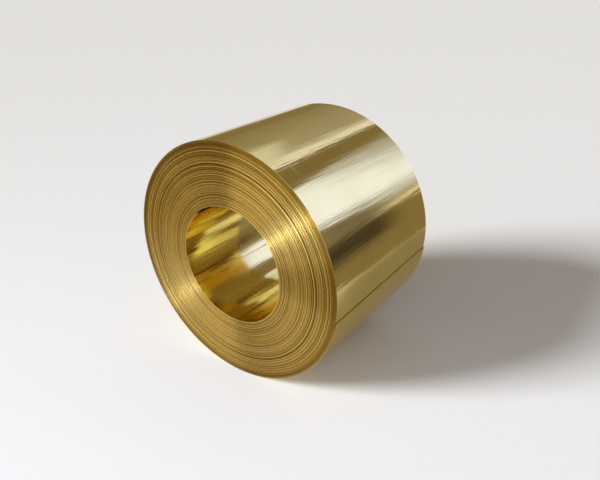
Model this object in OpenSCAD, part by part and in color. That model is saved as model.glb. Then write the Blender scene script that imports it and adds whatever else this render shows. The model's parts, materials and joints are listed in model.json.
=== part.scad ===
// Coil of brass strip: one long strip wound flat on itself around an open bore.
// The coil lies on its side with its bore level. Millimetres, +Z up, the front end faces -Y.
// The origin is in the middle of the bore. Angles run anticlockwise from +X, seen from the front.

/* [Strip] */
// Width of the strip, which is the length of the coil along its bore
strip_w = 220; // [60:1:400]
// Thickness of the strip
strip_t = 1; // [0.6:0.1:3]
// Chamfer that stands for the rounding on each slit edge of the strip
slit_chamfer = 0.2; // [0.05:0.05:0.25]

/* [Winding] */
// Inside diameter of the innermost turn
bore_d = 152; // [80:1:500]
// Number of turns wound on each other
turns = 81; // [10:1:120]
// Most that a turn sits sideways of the middle, towards either end
stagger = 0.4; // [0:0.1:1]
// Angle that the slow sideways drift moves on with each turn
slow_drift_step = 47; // [10:1:80]
// Angle that the quick sideways drift moves on with each turn
quick_drift_step = 101; // [81:1:170]

/* [Free ends] */
// Place of the outer free end, where the last turn stops
outer_end_angle = -6.5; // [-180:0.5:180]
// Place of the inner free end, where the first turn starts
inner_end_angle = 130; // [-180:0.5:180]
// Arc over which the step beside a free end runs out
runout_arc = 60; // [45:5:80]

/* [Hidden] */
$fn = 180;

// Radii of the bore and of the outside
bore_r = bore_d / 2;
outer_r = bore_r + turns * strip_t;
// The step beside a free end is one strip thickness deep. It runs out to nothing over the arc,
// because the round cut that makes it has its centre this far to one side.
runout_shift = strip_t / (1 - cos(runout_arc));
runout_dr = runout_shift * cos(runout_arc);
// The cuts reach past the coil, and past the arc that they need
cut_w = strip_w + 4 * stagger + 20;
cut_reach = 2 * outer_r;
cut_arc = runout_arc + 10;

// Sideways place of a turn: a slow and a quick drift together, held between two flat stops,
// so that the turns that reach a stop are flush with each other
function drift(i) = 0.8 * sin(i * slow_drift_step) + 0.7 * sin(i * quick_drift_step);
function turn_shift(i) = stagger * max(-1, min(1, drift(i)));

// Inner radius of a turn, counted from 0 at the bore
function turn_r(i) = bore_r + i * strip_t;
// Height of the front and of the back edge of a turn
function front_h(i) = turn_shift(i) + strip_w / 2;
function back_h(i) = turn_shift(i) - strip_w / 2;

// Front end from the bore out: each turn is a flat land between two chamfers
front_line = [for (i = [0:turns - 1]) each [
    [turn_r(i), (i == 0 ? front_h(0) : min(front_h(i - 1), front_h(i))) - slit_chamfer],
    [turn_r(i) + slit_chamfer, front_h(i)],
    [turn_r(i + 1) - slit_chamfer, front_h(i)]
]];
// Back end from the outside in
back_line = [for (i = [turns - 1:-1:0]) each [
    [turn_r(i + 1) - slit_chamfer, back_h(i)],
    [turn_r(i) + slit_chamfer, back_h(i)],
    [turn_r(i), (i == 0 ? back_h(0) : max(back_h(i - 1), back_h(i))) + slit_chamfer]
]];
outside_line = [
    [outer_r, front_h(turns - 1) - slit_chamfer],
    [outer_r, back_h(turns - 1) + slit_chamfer]
];

// Wedge from the bore's axis outwards, between two angles
module wedge(from, to) {
    linear_extrude(height = cut_w, center = true)
        polygon([
            [0, 0],
            cut_reach * [cos(from), sin(from)],
            cut_reach * [cos(to), sin(to)]
        ]);
}

// Cylinder along the bore, with its centre moved towards an angle
module round_cut(radius, shift, angle) {
    translate(shift * [cos(angle), sin(angle), 0])
        cylinder(r = radius, h = cut_w + 2, center = true);
}

// All the turns as one turned solid, with its axis upright and its front end up
module wound_turns() {
    rotate_extrude()
        polygon(concat(front_line, outside_line, back_line));
}

// The last turn stops here, so the outside steps down and then runs out to the full radius
module outer_end_step() {
    difference() {
        wedge(outer_end_angle, outer_end_angle + cut_arc);
        round_cut(outer_r + runout_dr, -runout_shift, outer_end_angle);
    }
}

// The first turn starts here, so the bore steps out and then runs back to its own radius
module inner_end_step() {
    intersection() {
        wedge(inner_end_angle - cut_arc, inner_end_angle);
        round_cut(bore_r - runout_dr, runout_shift, inner_end_angle);
    }
}

// The strip wound into its coil, laid on its side
module strip_coil() {
    color([0.80, 0.63, 0.28])
        rotate([90, 0, 0])
            difference() {
                wound_turns();
                outer_end_step();
                inner_end_step();
            }
}

strip_coil();
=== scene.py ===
import json
import math
import bpy
import numpy as np
from mathutils import Matrix, Vector


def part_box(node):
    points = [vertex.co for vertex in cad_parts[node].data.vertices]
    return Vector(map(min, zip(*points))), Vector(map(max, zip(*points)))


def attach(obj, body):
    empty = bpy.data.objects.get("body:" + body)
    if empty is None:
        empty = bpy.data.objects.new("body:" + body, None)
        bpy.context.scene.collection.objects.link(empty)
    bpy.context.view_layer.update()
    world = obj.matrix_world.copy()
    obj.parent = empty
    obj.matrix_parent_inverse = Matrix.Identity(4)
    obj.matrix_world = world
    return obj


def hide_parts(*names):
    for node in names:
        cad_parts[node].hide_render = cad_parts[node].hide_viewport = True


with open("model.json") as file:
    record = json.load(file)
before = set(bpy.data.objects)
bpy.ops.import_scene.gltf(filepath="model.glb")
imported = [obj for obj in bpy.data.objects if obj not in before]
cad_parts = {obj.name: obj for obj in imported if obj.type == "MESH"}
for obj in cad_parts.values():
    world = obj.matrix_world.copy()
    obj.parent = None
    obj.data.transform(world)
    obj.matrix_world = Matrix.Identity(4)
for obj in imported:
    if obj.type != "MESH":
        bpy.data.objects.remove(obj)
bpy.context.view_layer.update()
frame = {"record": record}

coilLow, coilHigh = (np.array(corner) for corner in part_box("strip_coil"))
boreMount = next(mount for mount in frame["record"]["mounts"] if mount["name"] == "bore")
print("frame loaded: coil", np.round(coilHigh - coilLow, 4))


# Curves, and noise along the strip

def ramp(x):
    # 0 below 0, 1 above 1, and 3x^2 - 2x^3 between
    x = np.clip(x, 0, 1)
    return x * x * (3 - 2 * x)


def mix(low, high, share):
    # Straight line from low at share 0 to high at share 1
    return low + (high - low) * share


def heldLevels(position, starts, levels, settle):
    # Past starts[k] the level is eased from levels[k] to levels[k + 1] over settle, and then held
    cell = np.searchsorted(starts, position)
    before = np.maximum(cell - 1, 0)
    return mix(levels[before], levels[cell], ramp((position - starts[before]) / settle))


def steppedNoise(position, step, peak, settle, rng):
    # Levels from -1 to 1 held over stretches of about a step each; a higher power, peak, leaves most
    # levels mild and a few strong. Spare levels see to it that the stretches reach the end
    shortest = 0.8
    longest = 1.3
    spare = 4
    count = int(position.max() / step / shortest) + spare
    starts = (np.cumsum(rng.uniform(shortest, longest, count)) - 1) * step
    levels = rng.uniform(-1, 1, count + 1)
    levels = np.sign(levels) * np.abs(levels) ** peak
    return heldLevels(position, starts, levels, settle)


def layeredNoise(position, layers, settle, rng):
    # Sum of stepped noises, each times its own size
    return sum(size * steppedNoise(position, step, peak, settle, rng) for step, size, peak in layers)


def shadedRingLines(position, spec, rng):
    # Land, dark line and bright line over and over, each with its own length in turns and strength; the dark
    # lines are painted shade, the bright ones painted highlight
    spare = 3
    count = int(position.max()) + spare
    lengths = [rng.uniform(*spec[key], count) for key in ("landTurns", "lineTurns", "lineTurns")]
    tones = [rng.uniform(*spec[key], count) for key in ("landTone", "shadeLineTone", "highlightLineTone")]
    lengths = np.stack(lengths, axis=1).ravel()
    tones = np.stack(tones, axis=1).ravel()
    return heldLevels(position, np.cumsum(lengths) - lengths[0], tones, spec["settle"])


def oddTurns(position, spec, rng):
    # Short stretches of one turn or more, each with its own size from -1 to 1 and with eased ends; 0
    # elsewhere
    count = spec["oddTurns"]
    longest = spec["oddTurnLongest"]
    starts = rng.uniform(1, position.max() - longest - 1, count)
    lengths = rng.integers(1, longest + 1, count)
    sizes = rng.choice([-1, 1], count) * rng.uniform(spec["oddTurnLeast"], 1, count)
    within = position[:, None] - starts
    comesOut = ramp(within / spec["oddTurnEase"])
    goesBack = ramp((lengths - within) / spec["oddTurnEase"])
    return (sizes * comesOut * goesBack).sum(axis=1)


# The strip, wound as one spiral: metres, degrees, and turns counted from its inner end

stripSpec = {
    "thickness": 0.000955,      # under the winding pitch, so the turns never touch
    "fullTurns": 79,            # whole turns between the two free ends, before the part turn
    "ringsPerTurn": 126,        # rings of points round the coil
    "firstTurnRings": 360,
    "edgeRound": 0.00026,       # width of the rolled-over corner on a slit edge
    "edgeDrop": 0.00020,        # how far that corner falls back
    "edgeMargin": 0.0004,       # room at each end of the coil for turns that stand proud
    "innerEndAngle": 130.0,     # anticlockwise from +X, seen from the front
    "innerEndLift": 0.0010,     # how far the inner free end springs into the bore
    "innerEndArc": 34.0,        # how much of the first turn springs away
    "outerEndAngle": -8.6,
    "outerEndLift": 0.00030,    # how far the outer free end springs off the coil
    "outerEndArc": 30.0,
    "outerEndSkew": 2.2,        # how far the outer end is cut out of square
    "outerEndSkewArc": 45.0,    # how much of the last turn its rings take to turn that far
    "creaseArc": 87.0,          # from the inner end to the bend left by the winding drum
    "creaseDepth": 0.00060,     # how far the strip rises out of the round at the bend
    "creaseRise": 8.0,          # the arc over which it rises
    "creaseFall": 0.90,         # and the arc over which it drops back, as a narrow flank
    "creaseRings": (-1, -0.1, 0, 0.1, 0.9, 1, 1.1, 2),      # rings added there, in shares of that flank

    # How the turns lie. Each list holds turns between changes, size, and the power that makes large
    # ones rare
    "seed": 11,
    "settle": 0.15,             # turns over which the strip moves across to a new place
    "sideways": [(1.0, 0.00006, 1.0), (12, 0.00012, 1.0)],
    "tilt": [(1.0, 0.22, 1.5), (6.0, 0.03, 1.0)],           # how far each slit edge leans, as a slope
    "tone": [(1.0, 0.20, 1.0), (7.0, 0.14, 1.0)],           # how far each turn's sheen differs
    "oddTurns": 30,             # short stretches that stand proud of the end or lie back
    "oddTurnSize": 0.00016,
    "oddTurnLeast": 0.5,        # the slightest one's share of that
    "oddTurnLongest": 2,
    "oddTurnEase": 0.06,        # turns over which one comes out, and goes back
    "looseTurns": 11,           # turns that were wound with a hairline gap under them
    "looseGap": 0.00030,
    "looseRise": 0.1,           # turns over which a gap opens
    "tightInside": 2,           # turns without a gap at the inside
    "tightOutside": 3,          # and at the outside
    "innerCalm": 0.5,           # share of tilt and tone left on the inner turns, which lie more evenly
    "innerShare": 0.3,          # share of the turns that are inner ones
    "innerFade": 1 / 3,         # share of the turns over which their calm fades out
    "innerTone": 0.22,          # how much paler they are
    "outerCalm": 0.4,           # share of tilt and tone left on the last few turns
    "outerCalmTurns": 9.0,
    "outerFade": 1.5,           # turns over which their calm fades in
    "outerTone": -0.30,         # how much darker they are
    "rimHighlightTone": 0.60,            # how much paler the first and last turn are: a painted highlight along the bore's edge and the outer edge
    "rimFade": 0.1,             # turns over which that fades towards the turns between them
    "tipFade": 0.02,            # and at the outer free end

    # The fine lines round the two ends, in turns, and as tone: below 0 is dark, above 0 bright. The dark
    # lines are painted shade of gaps and of turns that lie back, the bright lines painted highlight on turns
    # that stand proud
    "landTurns": (0.4, 2.6),
    "lineTurns": (0.9, 1.2),
    "landTone": (-0.12, 0.22),
    "shadeLineTone": (-1.1, -0.25),
    "highlightLineTone": (0.05, 1.0),
}


def ringPlaces(spec, turns):
    # Where along the strip, in turns, its rings of points stand: even steps, closer together on the
    # first turn, and a few more at the bend
    return np.unique(np.concatenate([
        np.linspace(0, 1, spec["firstTurnRings"]),
        np.linspace(1, turns, int((turns - 1) * spec["ringsPerTurn"])),
        (spec["creaseArc"] + spec["creaseFall"] * np.array(spec["creaseRings"])) / 360,
    ]))


def windingNoise(turn, turns, spec, rng):
    # Each ring's shift along the axis, lean of the slit edges, tone, and the sum of the gaps under the
    # loose turns so far. Lean and tone are noises times the calm of the inner and the last turns
    fromInside = ramp((turn / turns - spec["innerShare"]) / spec["innerFade"])
    nearOutside = ramp((turn - turns + spec["outerCalmTurns"]) / spec["outerFade"])
    calmer = mix(spec["innerCalm"], 1, fromInside) * mix(1, spec["outerCalm"], nearOutside)
    sideways = layeredNoise(turn, spec["sideways"], spec["settle"], rng)
    sideways += spec["oddTurnSize"] * oddTurns(turn, spec, rng)
    tilt = layeredNoise(turn, spec["tilt"], spec["settle"], rng) * calmer
    tone = layeredNoise(turn, spec["tone"], spec["settle"], rng)
    # The ring lines add painted shade (dark lines) and painted highlight (bright lines) to the tone
    tone = (tone + shadedRingLines(turn, spec, rng)) * calmer
    tone += spec["innerTone"] * (1 - fromInside) + spec["outerTone"] * nearOutside
    # The first and last turn made paler: a painted highlight along the bore's edge and the outer edge
    rimHighlight = ramp((1 - turn) / spec["rimFade"]) + ramp((turn - turns + 1) / spec["rimFade"])
    tone += spec["rimHighlightTone"] * rimHighlight * ramp((turns - turn) / spec["tipFade"])
    loose = rng.uniform(spec["tightInside"], turns - spec["tightOutside"], spec["looseTurns"])
    gaps = spec["looseGap"] * ramp((turn[:, None] - loose) / spec["looseRise"]).sum(axis=1)
    return sideways, tilt, tone, gaps


def springAway(distance, length):
    # 1 at the free end and 0 past length from it, with (1 - x)^2 between
    return np.clip(1 - distance / length, 0, 1) ** 2


def freeEndsAndBend(turn, turns, spec):
    # What the radius gains: the outer end springs out, the inner end springs into the bore, and the bend
    # rises into it and drops back along straight lines
    outer = spec["outerEndLift"] * springAway((turns - turn) * 360, spec["outerEndArc"])
    inner = spec["innerEndLift"] * springAway(turn * 360, spec["innerEndArc"])
    pastCrease = turn * 360 - spec["creaseArc"]
    rising = 1 + pastCrease / spec["creaseRise"]
    dropping = 1 - pastCrease / spec["creaseFall"]
    bend = spec["creaseDepth"] * np.clip(np.minimum(rising, dropping), 0, 1)
    return outer - inner - bend


def woundStrip(spec, boreRadius, outerRadius, halfWidth):
    # Rings of 8 points, the strip's cross-section with its corners cut, carried round the axis at
    # r = bore + pitch * turn + the gaps under loose turns + what the free ends and the bend add
    turns = spec["fullTurns"] + ((spec["outerEndAngle"] - spec["innerEndAngle"]) % 360) / 360
    turn = ringPlaces(spec, turns)
    sideways, tilt, tone, gaps = windingNoise(turn, turns, spec, np.random.default_rng(spec["seed"]))
    pitch = (outerRadius - boreRadius - spec["thickness"] - gaps[-1]) / turns
    radius = boreRadius + pitch * turn + gaps + freeEndsAndBend(turn, turns, spec)

    # Round the ring, from the front end's inner point: how far each point lies outwards through the
    # thickness, how far it falls back from the slit edge, and its arm for the edge's lean
    thick, edge, drop = spec["thickness"], spec["edgeRound"], spec["edgeDrop"]
    outward = np.array([0, edge, thick - edge, thick, thick, thick - edge, edge, 0])
    fallBack = np.array([drop, 0, 0, drop, drop, 0, 0, drop])
    lean = np.array([0, 1, -1, 0, 0, -1, 1, 0]) * (thick / 2 - edge)
    end = np.array([-1, -1, -1, -1, 1, 1, 1, 1])
    across = end * (halfWidth - fallBack - lean * tilt[:, None] * end) + sideways[:, None]

    # The last rings are turned out of square about their front end's points
    skew = math.radians(spec["outerEndSkew"]) * (end + 1) / 2
    skewed = np.clip(1 - (turns - turn) * 360 / spec["outerEndSkewArc"], 0, 1)
    angle = math.radians(spec["innerEndAngle"]) + 2 * math.pi * turn
    angle = angle[:, None] + skewed[:, None] * skew
    ringRadius = radius[:, None] + outward
    points = np.stack([ringRadius * np.cos(angle), across, ringRadius * np.sin(angle)], axis=-1)
    lengthAlong = np.concatenate([[0], np.cumsum(np.diff(turn) * 2 * math.pi * radius[1:])])
    return points, lengthAlong, tone, pitch


def ribbonMesh(name, rings):
    # Faces join point k of ring i to point k + 1 of ring i + 1, and a cap closes each end
    stations, count = rings.shape[:2]
    ring = np.arange(stations - 1)[:, None] * count
    here = np.arange(count)[None, :]
    ahead = (here + 1) % count
    quads = np.stack([ring + here, ring + ahead, ring + count + ahead, ring + count + here], axis=-1)
    quads = quads.reshape(-1, 4)
    caps = np.array([np.arange(count)[::-1], (stations - 1) * count + np.arange(count)])
    loopStart = np.concatenate([np.arange(len(quads)) * 4, len(quads) * 4 + np.array([0, count])])
    loopVertex = np.concatenate([quads.ravel(), caps.ravel()])

    mesh = bpy.data.meshes.new(name)
    mesh.vertices.add(stations * count)
    mesh.vertices.foreach_set("co", rings.reshape(-1).astype(np.float32))
    mesh.loops.add(len(loopVertex))
    mesh.loops.foreach_set("vertex_index", loopVertex.astype(np.int32))
    mesh.polygons.add(len(loopStart))
    mesh.polygons.foreach_set("loop_start", loopStart.astype(np.int32))
    mesh.update(calc_edges=True)
    return mesh, loopVertex


boreRadius = boreMount["dims"]["r_mm"] / 1000
outerRadius = float(coilHigh[2])
halfWidth = float(coilHigh[1]) - stripSpec["edgeMargin"]
rings, lengthAlong, tone, pitch = woundStrip(stripSpec, boreRadius, outerRadius, halfWidth)
stripMesh, loopVertex = ribbonMesh("woundStrip", rings)
cornerCount = rings.shape[1]
rolledSides = [3, 7]            # sides of the ring that are the strip's outer and inner rolled face
rolledCorners = [0, 3, 4, 7]    # points of the ring where these meet the slit edges

# The rolled faces take the first material, and the slit edges and the two cut ends take the second
sideOf = np.arange(len(stripMesh.polygons)) % cornerCount
onEdge = np.isin(sideOf, rolledSides, invert=True).astype(np.int32)
stripMesh.polygons.foreach_set("material_index", onEdge)
stripMesh.polygons.foreach_set("use_smooth", np.ones(len(stripMesh.polygons), dtype=bool))

# The line between a rolled face and its slit edge is sharp, so each keeps its own shading
edgeEnds = np.empty(len(stripMesh.edges) * 2, dtype=np.int32)
stripMesh.edges.foreach_get("vertices", edgeEnds)
edgeEnds = edgeEnds.reshape(-1, 2)
corner = edgeEnds % cornerCount
alongLine = (corner[:, 0] == corner[:, 1]) & np.isin(corner[:, 0], rolledCorners)
lastRing = len(stripMesh.vertices) - cornerCount
atCap = (edgeEnds.max(axis=1) < cornerCount) | (edgeEnds.min(axis=1) >= lastRing)
stripMesh.attributes.new("sharp_edge", "BOOLEAN", "EDGE")
stripMesh.attributes["sharp_edge"].data.foreach_set("value", alongLine | atCap)

# For the materials: each turn's own tone, with 0.5 as the middle, which holds random differences, painted
# shade in its dark lines and painted highlight in its bright lines and on the first and last turn; and a map
# of the strip laid flat, in metres along it and across it
turnToneAndShade = stripMesh.attributes.new("turnToneAndShade", "FLOAT", "POINT")
turnToneAndShade.data.foreach_set("value", np.repeat(tone * 0.5 + 0.5, cornerCount).astype(np.float32))
uvPoint = np.stack([np.repeat(lengthAlong, cornerCount), rings[:, :, 1].ravel()], axis=-1)
stripUv = stripMesh.uv_layers.new(name="stripUv")
stripUv.uv.foreach_set("vector", uvPoint[loopVertex].astype(np.float32).ravel())
stripMesh.validate()
strip = bpy.data.objects.new("brass_strip", stripMesh)
bpy.context.collection.objects.link(strip)
print("strip wound:", len(stripMesh.polygons), "faces, pitch", round(pitch * 1000, 4), "mm, length",
      round(float(lengthAlong[-1]), 2), "m")


# Materials

def emptyMaterial(name):
    # A material with only its output, and that output's surface input
    material = bpy.data.materials.new(name)
    material.use_nodes = True
    tree = material.node_tree
    tree.nodes.clear()
    return material, tree, tree.nodes.new("ShaderNodeOutputMaterial").inputs["Surface"]


def newMaterial(name):
    # A material with one Principled shader
    material, tree, surface = emptyMaterial(name)
    shader = tree.nodes.new("ShaderNodeBsdfPrincipled")
    tree.links.new(shader.outputs["BSDF"], surface)
    return material, tree, shader


def stretchedNoise(tree, vector, spec):
    # Noise on a vector scaled by its own amount along each axis
    mapping = tree.nodes.new("ShaderNodeMapping")
    mapping.inputs["Scale"].default_value = spec["scale"]
    noise = tree.nodes.new("ShaderNodeTexNoise")
    noise.inputs["Scale"].default_value = 1.0
    noise.inputs["Detail"].default_value = spec["detail"]
    noise.inputs["Roughness"].default_value = spec["roughness"]
    tree.links.new(vector, mapping.inputs["Vector"])
    tree.links.new(mapping.outputs["Vector"], noise.inputs["Vector"])
    return noise.outputs["Fac"]


def spread(tree, value, low, high, toLow, toHigh):
    # Straight line from low..high to toLow..toHigh, clamped
    node = tree.nodes.new("ShaderNodeMapRange")
    for name, number in zip(("From Min", "From Max", "To Min", "To Max"), (low, high, toLow, toHigh)):
        node.inputs[name].default_value = number
    tree.links.new(value, node.inputs["Value"])
    return node.outputs["Result"]


def noiseLevel(tree, vector, spec, toLow=0.0, toHigh=1.0):
    # Stretched noise spread from where it starts to count to where it counts in full
    return spread(tree, stretchedNoise(tree, vector, spec), *spec["between"], toLow, toHigh)


def combine(tree, operation, first, second):
    # Two values into one, such as their product or the larger of them
    node = tree.nodes.new("ShaderNodeMath")
    node.operation = operation
    tree.links.new(first, node.inputs[0])
    tree.links.new(second, node.inputs[1])
    return node.outputs["Value"]


def blendColour(tree, factor, first, second):
    # From the first colour at 0 to the second at 1; the Mix node's colours go in at 6 and 7, out at 2
    node = tree.nodes.new("ShaderNodeMix")
    node.data_type = "RGBA"
    node.inputs[6].default_value = (*first, 1)
    node.inputs[7].default_value = (*second, 1)
    tree.links.new(factor, node.inputs[0])
    return node.outputs[2]


def attributeValue(tree, name):
    # A number kept on the mesh's points
    node = tree.nodes.new("ShaderNodeAttribute")
    node.attribute_name = name
    return node.outputs["Fac"]


rolledSpec = {
    "colour": (0.87, 0.71, 0.27),
    "darkColour": (0.82, 0.65, 0.23),       # in faint patches
    "grazingColour": (0.97, 0.92, 0.70),    # near the outline, where the metal is seen edge on
    "roughness": (0.07, 0.13),              # of the smoothest and of the roughest streaks
    "scratchRoughness": 0.34,
    "breakDepth": 0.00025,                  # metres of shading relief
    # Noises on the strip laid flat. scale is how often they change in a metre along it and across it
    "streaks": {"scale": (1.5, 900, 1), "detail": 4.0, "roughness": 0.6, "between": (0.3, 0.7)},
    "breaks": {"scale": (150, 9.0, 1), "detail": 3.0, "roughness": 0.55},
    "patches": {"scale": (9, 14, 1), "detail": 3.0, "roughness": 0.5, "between": (0.35, 0.7)},
    "scratchLines": {"scale": (7, 1300, 1), "detail": 1.0, "roughness": 0.4, "between": (0.66, 0.70)},
    "scratchPlaces": {"scale": (14, 45, 1), "detail": 1.0, "roughness": 0.4, "between": (0.56, 0.62)},
}


def rolledBrass(spec):
    # The strip's rolled faces: bright, with streaks along the roll, faint breaks across it, and a few
    # scratches where two thin noises both run high. The rougher of streak and scratch wins
    material, tree, shader = newMaterial("rolledBrass")
    stripMap = tree.nodes.new("ShaderNodeUVMap")
    stripMap.uv_map = "stripUv"
    flat = stripMap.outputs["UV"]
    patches = noiseLevel(tree, flat, spec["patches"])
    colour = blendColour(tree, patches, spec["colour"], spec["darkColour"])
    tree.links.new(colour, shader.inputs["Base Color"])

    streaks = noiseLevel(tree, flat, spec["streaks"], *spec["roughness"])
    scratchLines = noiseLevel(tree, flat, spec["scratchLines"])
    scratchPlaces = noiseLevel(tree, flat, spec["scratchPlaces"])
    scratches = combine(tree, "MULTIPLY", scratchLines, scratchPlaces)
    scratches = spread(tree, scratches, 0, 1, 0, spec["scratchRoughness"])
    tree.links.new(combine(tree, "MAXIMUM", streaks, scratches), shader.inputs["Roughness"])

    bump = tree.nodes.new("ShaderNodeBump")
    bump.inputs["Strength"].default_value = 1.0
    bump.inputs["Distance"].default_value = spec["breakDepth"]
    tree.links.new(stretchedNoise(tree, flat, spec["breaks"]), bump.inputs["Height"])
    tree.links.new(bump.outputs["Normal"], shader.inputs["Normal"])
    shader.inputs["Metallic"].default_value = 1.0
    shader.inputs["Specular Tint"].default_value = (*spec["grazingColour"], 1)
    return material


slitSpec = {
    # A turn's tone, and the colour of its slit edge at that tone. The darkest, near black, is painted shade
    # for the gaps between turns
    "shades": ((0.0, (0.09, 0.04, 0.003)), (0.5, (0.37, 0.22, 0.033)), (1.0, (0.70, 0.51, 0.16))),
    "roughTones": (0.1, 0.9),               # two tones
    "roughness": (0.18, 0.25),              # and the slit edge's roughness at each
}


def slitBrass(spec):
    # The strip's cut edges: each turn has its own colour and roughness from its tone, partly as each met the
    # knife, partly painted shade in the dark ring lines and painted highlight in the bright ones and on the
    # first and last turn
    material, tree, shader = newMaterial("slitBrass")
    tone = attributeValue(tree, "turnToneAndShade")
    shades = tree.nodes.new("ShaderNodeValToRGB")
    middleTone = spec["shades"][1][0]
    shades.color_ramp.elements.new(middleTone)
    for element, (place, colour) in zip(shades.color_ramp.elements, spec["shades"]):
        element.position = place
        element.color = (*colour, 1)
    tree.links.new(tone, shades.inputs["Fac"])
    tree.links.new(shades.outputs["Color"], shader.inputs["Base Color"])
    roughness = spread(tree, tone, *spec["roughTones"], *spec["roughness"])
    tree.links.new(roughness, shader.inputs["Roughness"])
    shader.inputs["Metallic"].default_value = 1.0
    return material


stripMesh.materials.append(rolledBrass(rolledSpec))
stripMesh.materials.append(slitBrass(slitSpec))
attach(strip, "root")
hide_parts("strip_coil")
print("materials made")


# Camera and floor

def lookAt(holder, place, target):
    # Turns an object at place so that its -Z points at target, with its Y upwards
    direction = Vector(target) - Vector(place)
    holder.location = place
    holder.rotation_euler = direction.to_track_quat("-Z", "Y").to_euler()


cameraSpec = {
    "aim": (0.026, 0.0, -0.001),
    "azimuth": 36.19,           # degrees round from the front, towards +X
    "elevation": 26.46,
    "distance": 0.7707,
    "lens": 34.53,
}


def addCamera(spec):
    # Stands back from its aim by the distance, along the view turned by azimuth and elevation
    azimuth = math.radians(spec["azimuth"])
    elevation = math.radians(spec["elevation"])
    forward = np.array([
        -math.sin(azimuth) * math.cos(elevation),
        math.cos(azimuth) * math.cos(elevation),
        -math.sin(elevation),
    ])
    camera = bpy.data.objects.new("camera", bpy.data.cameras.new("camera"))
    camera.data.lens = spec["lens"]
    bpy.context.collection.objects.link(camera)
    lookAt(camera, tuple(np.array(spec["aim"]) - spec["distance"] * forward), spec["aim"])
    bpy.context.scene.camera = camera


floorSpec = {"half": 12.0, "colour": (0.90, 0.885, 0.86), "roughness": 0.9}


def addFloor(spec, height):
    # One large square at the height of the coil's lowest line
    half = spec["half"]
    mesh = bpy.data.meshes.new("floor")
    mesh.from_pydata(
        [(-half, -half, height), (half, -half, height), (half, half, height), (-half, half, height)],
        [], [(0, 1, 2, 3)],
    )
    floor = bpy.data.objects.new("floor", mesh)
    bpy.context.collection.objects.link(floor)
    material, _, shader = newMaterial("paleFloor")
    shader.inputs["Base Color"].default_value = (*spec["colour"], 1)
    shader.inputs["Roughness"].default_value = spec["roughness"]
    mesh.materials.append(material)


# Surfaces of even brightness that only reflections see

def addGlowGrid(name, points, cover, colour):
    # Faces join each grid point to its neighbours in the next row and column; see-through where
    # cover is 0
    rows, columns = cover.shape
    first = np.arange(rows - 1)[:, None] * columns + np.arange(columns - 1)[None, :]
    quads = np.stack([first, first + 1, first + columns + 1, first + columns], axis=-1).reshape(-1, 4)
    mesh = bpy.data.meshes.new(name)
    mesh.from_pydata(points.reshape(-1, 3).tolist(), [], quads.tolist())
    mesh.attributes.new("cover", "FLOAT", "POINT")
    mesh.attributes["cover"].data.foreach_set("value", cover.ravel().astype(np.float32))
    material, tree, surface = emptyMaterial(name)
    glow = tree.nodes.new("ShaderNodeEmission")
    glow.inputs["Color"].default_value = (*colour, 1)
    clear = tree.nodes.new("ShaderNodeBsdfTransparent")
    both = tree.nodes.new("ShaderNodeMixShader")
    tree.links.new(attributeValue(tree, "cover"), both.inputs["Fac"])
    tree.links.new(clear.outputs["BSDF"], both.inputs[1])
    tree.links.new(glow.outputs["Emission"], both.inputs[2])
    tree.links.new(both.outputs["Shader"], surface)
    mesh.materials.append(material)
    holder = bpy.data.objects.new(name, mesh)
    bpy.context.collection.objects.link(holder)
    holder.visible_camera = False
    holder.visible_diffuse = False
    holder.visible_shadow = False


def softEdges(share, low, high):
    # 1 in the middle, eased to 0 at share 0 over low and at share 1 over high
    sharpest = 0.01
    return ramp(share / np.maximum(low, sharpest)) * ramp((1 - share) / np.maximum(high, sharpest))


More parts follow.
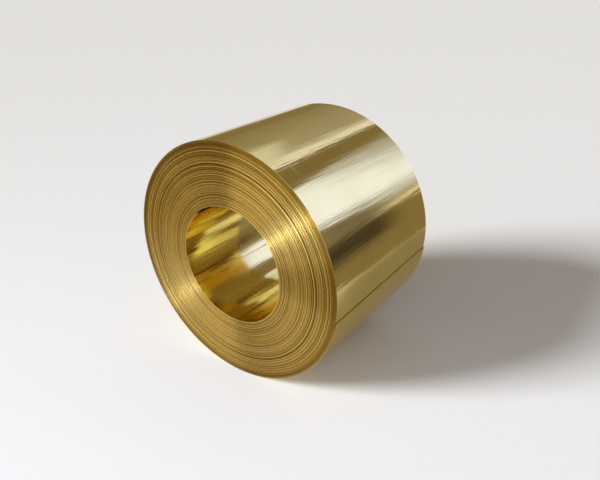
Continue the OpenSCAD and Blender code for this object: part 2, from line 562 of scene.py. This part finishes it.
# Large windows of soft light on an unseen wall behind the coil, mirrored in its side and its bore. The
# wall's rows are rings round the coil's axis: the coil's back end mirrors row 0 and its front end
# row 1, and the rows past about 1.4, where the far windows are, show in the bore alone. low and high are a
# window's two edges, as degrees up from +X at row 0 and at row 1. softLow and softHigh are the shares
# of its width over which those edges fade, again at row 0 and at row 1, and rowSoft is the shares of
# its rows over which its first and its last row fade.
wallSpec = {
    "y": 3.0,
    "backRadius": 1.9,          # of row 0
    "frontRadius": 2.95,        # of row 1
    "layerGap": 0.02,           # how far each window stands in front of the one before
    "rowSteps": 36,
    "widthSteps": 72,
}
windowSpec = {
    "daylight": {"low": (5, 22), "high": (89, 82), "softLow": (0.36, 0.20), "softHigh": (0.72, 0.34),
                 "rows": (-0.35, 1.72), "rowSoft": (0.02, 0.16), "colour": (1.05, 1.25, 2.6)},
    "lowGleam": {"low": (6, 9), "high": (13.5, 10), "softLow": (0.3, 0.5), "softHigh": (0.3, 0.5),
                 "rows": (-0.35, 1.0), "rowSoft": (0.02, 0.40), "colour": (0.86, 0.82, 1.0)},
    "duskBand": {"low": (76, 64), "high": (100, 96), "softLow": (0.35, 0.24), "softHigh": (0.12, 0.18),
                 "rows": (-0.35, 1.55), "rowSoft": (0.02, 0.08), "colour": (0.225, 0.18, 0.115)},
    "upperGlow": {"low": (97, 93), "high": (165, 165), "softLow": (0.05, 0.05), "softHigh": (0.85, 0.85),
                  "rows": (-0.35, 2.2), "rowSoft": (0.02, 0.10), "colour": (0.40, 0.39, 0.44)},
    "upperStreak": {"low": (95, 92), "high": (109, 109), "softLow": (0.25, 0.14), "softHigh": (0.70, 0.70),
                    "rows": (-0.35, 2.2), "rowSoft": (0.02, 0.10), "colour": (0.92, 1.0, 1.6)},
    "frontPatch": {"low": (100, 96), "high": (122, 127), "softLow": (0.2, 0.2), "softHigh": (0.25, 0.25),
                   "rows": (0.68, 1.75), "rowSoft": (0.22, 0.17), "colour": (0.76, 0.82, 1.2)},
    "leftShade": {"low": (151, 151), "high": (179.5, 179.5), "softLow": (0.6, 0.6), "softHigh": (0.01, 0.01),
                  "rows": (-0.35, 6.0), "rowSoft": (0.02, 0.02), "colour": (0.245, 0.20, 0.115)},
    "farCorner": {"low": (-2, -2), "high": (17, 17), "softLow": (0.02, 0.02), "softHigh": (0.25, 0.25),
                  "rows": (1.42, 2.3), "rowSoft": (0.06, 0.10), "colour": (0.13, 0.09, 0.05)},
    "farLow": {"low": (14, 14), "high": (31, 31), "softLow": (0.2, 0.2), "softHigh": (0.15, 0.15),
               "rows": (1.35, 1.68), "rowSoft": (0.08, 0.3), "colour": (1.45, 1.65, 1.6)},
    "farMiddle": {"low": (44, 44), "high": (62, 62), "softLow": (0.22, 0.22), "softHigh": (0.15, 0.15),
                  "rows": (1.40, 2.2), "rowSoft": (0.08, 0.15), "colour": (1.50, 2.10, 3.6)},
    "farHigh": {"low": (72, 72), "high": (130, 130), "softLow": (0.05, 0.05), "softHigh": (0.10, 0.10),
                "rows": (1.43, 2.3), "rowSoft": (0.04, 0.10), "colour": (1.15, 1.35, 1.5)},
}


def addWindow(name, spec, wall, depth):
    # Fan on the wall: radius steps outwards row by row, bearing runs across each row
    step = np.linspace(0, 1, wall["rowSteps"])[:, None]
    share = np.linspace(0, 1, wall["widthSteps"])[None, :]
    row = mix(*spec["rows"], step)
    radius = mix(wall["backRadius"], wall["frontRadius"], row)
    bearing = np.radians(mix(mix(*spec["low"], row), mix(*spec["high"], row), share))
    cover = softEdges(share, mix(*spec["softLow"], row), mix(*spec["softHigh"], row))
    cover = cover * softEdges(step, *spec["rowSoft"])
    points = np.stack([
        radius * np.cos(bearing), np.full_like(bearing, wall["y"] - depth), radius * np.sin(bearing),
    ], axis=-1)
    addGlowGrid(name, points, cover, spec["colour"])


# Upright cards, and mats 1 or 2 mm above the floor, which is at z = -0.157, none of them in the
# photo's view. The right ones stand out of the picture and darken the side, mostly its lower half.
# leftMat, edgeMat and frontMat lie out of the picture in front and tone the end face. The back ones are
# hidden by the coil and darken its bore. Each runs from its corner to rowEnd and to columnEnd. soft is
# the shares over which it fades at its first and last row, and at its first and last column.
cardSpec = {
    "brownCard": {
        "corner": (0.50, -0.50, -0.157),
        "rowEnd": (0.50, 4.0, -0.157),
        "columnEnd": (0.50, -0.50, 0.10),
        "soft": (0.01, 0.01, 0.01, 0.10),
        "colour": (0.257, 0.206, 0.138),
    },
    "greyCard": {
        "corner": (0.49, 0.24, 0.08),
        "rowEnd": (0.49, 0.59, 0.08),
        "columnEnd": (0.49, 0.24, 0.27),
        "soft": (0.35, 0.50, 0.20, 0.35),
        "colour": (0.195, 0.175, 0.17),
    },
    "blackCard": {
        "corner": (0.48, 0.0, -0.10),
        "rowEnd": (0.48, 0.58, -0.10),
        "columnEnd": (0.48, 0.0, 0.14),
        "soft": (0.01, 0.25, 0.54, 0.30),
        "colour": (0.06, 0.05, 0.045),
    },
    "rightMat": {
        "corner": (0.455, -0.02, -0.156),
        "rowEnd": (-0.33, 4.0, -0.156),
        "columnEnd": (1.0, -0.02, -0.156),
        "soft": (0.01, 0.01, 0.01, 0.01),
        "colour": (0.257, 0.206, 0.138),
    },
    "leftMat": {
        "corner": (-0.10, -0.41, -0.156),
        "rowEnd": (-3.0, 1.175, -0.156),
        "columnEnd": (-0.82, -1.73, -0.156),
        "soft": (0.02, 0.01, 0.05, 0.20),
        "colour": (0.575, 0.46, 0.19),
    },
    "edgeMat": {
        "corner": (-0.10, -0.43, -0.155),
        "rowEnd": (-1.30, 0.23, -0.155),
        "columnEnd": (-1.0, -0.75, -0.155),
        "soft": (0.10, 0.01, 0.01, 0.20),
        "colour": (0.37, 0.285, 0.10),
    },
    "frontMat": {
        "corner": (-0.07, -0.41, -0.156),
        "rowEnd": (0.42, -0.06, -0.156),
        "columnEnd": (0.64, -1.38, -0.156),
        "soft": (0.02, 0.20, 0.05, 0.20),
        "colour": (0.42, 0.36, 0.20),
    },
    "backMat": {
        "corner": (-0.44, 0.14, -0.156),
        "rowEnd": (-0.44, 0.38, -0.156),
        "columnEnd": (0.0, 0.14, -0.156),
        "soft": (0.20, 0.50, 0.10, 0.10),
        "colour": (0.42, 0.29, 0.06),
    },
    "backCard": {
        "corner": (-0.45, 0.30, -0.24),
        "rowEnd": (-0.14, 0.30, -0.175),
        "columnEnd": (-0.45, 0.30, -0.02),
        "soft": (0.05, 0.08, 0.01, 0.04),
        "colour": (0.13, 0.07, 0.03),
    },
}


def addCard(name, spec):
    # Flat grid: corner + row * (rowEnd - corner) + column * (columnEnd - corner)
    steps = 40
    row = np.linspace(0, 1, steps)[:, None]
    column = np.linspace(0, 1, steps)[None, :]
    cover = softEdges(row, *spec["soft"][:2]) * softEdges(column, *spec["soft"][2:])
    corner, rowEnd, columnEnd = (np.array(spec[key]) for key in ("corner", "rowEnd", "columnEnd"))
    points = corner + row[..., None] * (rowEnd - corner) + column[..., None] * (columnEnd - corner)
    addGlowGrid(name, points, cover, spec["colour"])


# Lamps

def addAreaLamp(name, length, width, brightness):
    # Rectangle of even brightness, out of the camera's sight: its watts are pi * area * brightness
    lamp = bpy.data.lights.new(name, "AREA")
    lamp.shape = "RECTANGLE"
    lamp.size = length
    lamp.size_y = width
    lamp.energy = math.pi * length * width * brightness
    holder = bpy.data.objects.new(name, lamp)
    holder.visible_camera = False
    bpy.context.collection.objects.link(holder)
    return holder


# Two bars in front of the end face, in one plane with its axis, for its two bright rays
frontBarSpec = {
    "lean": 38.3,               # degrees of that plane up from +X
    "offAxis": (-8.0, 34.0),    # degrees of a bar's two ends off the axis, seen from the end face
    "colour": (0.90, 1.08, 1.8),
    "bars": {
        "rayCore": {"distance": 1.25, "width": 0.055, "brightness": 14.0},
        "raySkirt": {"distance": 1.30, "width": 0.42, "brightness": 1.05},
    },
}


def addFrontBar(name, bar, spec, face):
    # The ends lie at distance * (sin(off) along the lean + cos(off) out of the face), and the bar
    # faces the end face's middle
    lean = math.radians(spec["lean"])
    along = np.array([math.cos(lean), 0, math.sin(lean)])
    outOfFace = np.array([0, -1, 0])
    ends = [
        bar["distance"] * (math.sin(math.radians(off)) * along + math.cos(math.radians(off)) * outOfFace)
        for off in spec["offAxis"]
    ]
    middle = (ends[0] + ends[1]) / 2
    lengthwise = Vector(ends[1] - ends[0])
    outwards = Vector(middle).normalized()
    crosswise = outwards.cross(lengthwise).normalized()
    holder = addAreaLamp(name, lengthwise.length, bar["width"], bar["brightness"])
    holder.data.color = spec["colour"]
    turned = Matrix((lengthwise.normalized(), crosswise, outwards)).transposed().to_4x4()
    holder.matrix_world = Matrix.Translation(Vector(middle + face)) @ turned


# A soft box low on the left in front, for the broad golden sheen on the end face
softBoxSpec = {
    "towards": (-0.30, -0.92, 0.27),
    "distance": 1.6,
    "width": 1.0,
    "height": 0.8,
    "brightness": 1.58,
}


def addSoftBox(spec):
    # Stands at the distance towards its side, and faces the middle of the coil
    holder = addAreaLamp("softBox", spec["width"], spec["height"], spec["brightness"])
    lookAt(holder, tuple(spec["distance"] * np.array(spec["towards"])), (0, 0, 0))


# Soft light from the left in front. The coil's reflections leave it out, and show the soft box instead
sunSpec = {
    "place": (-1, -1, 2),
    "towards": (0.56, 0.70, -0.44),
    "strength": 4.5,
    "spread": 18.0,             # degrees
    "colour": (0.96, 1.0, 1.07),
}


def addSun(spec):
    # Looks from its place along towards
    lamp = bpy.data.lights.new("softSun", "SUN")
    lamp.energy = spec["strength"]
    lamp.angle = math.radians(spec["spread"])
    lamp.color = spec["colour"]
    holder = bpy.data.objects.new("softSun", lamp)
    holder.visible_glossy = False
    lookAt(holder, spec["place"], tuple(np.array(spec["place"]) + np.array(spec["towards"])))
    bpy.context.collection.objects.link(holder)


worldColour = (0.28, 0.25, 0.205)
boreBounces = 12                # light crosses the bore many times, and with 4 its far corners are black

addCamera(cameraSpec)
addFloor(floorSpec, float(coilLow[2]))
addSun(sunSpec)
for order, (name, spec) in enumerate(windowSpec.items()):
    addWindow(name, spec, wallSpec, wallSpec["layerGap"] * order)
for name, spec in cardSpec.items():
    addCard(name, spec)
for name, bar in frontBarSpec["bars"].items():
    addFrontBar(name, bar, frontBarSpec, np.array([0, float(coilLow[1]), 0]))
addSoftBox(softBoxSpec)

world = bpy.data.worlds.new("studio")
bpy.context.scene.world = world
world.use_nodes = True
world.node_tree.nodes["Background"].inputs["Color"].default_value = (*worldColour, 1)
bpy.context.scene.view_settings.view_transform = "Standard"
bpy.context.scene.cycles.glossy_bounces = boreBounces
print("studio set")
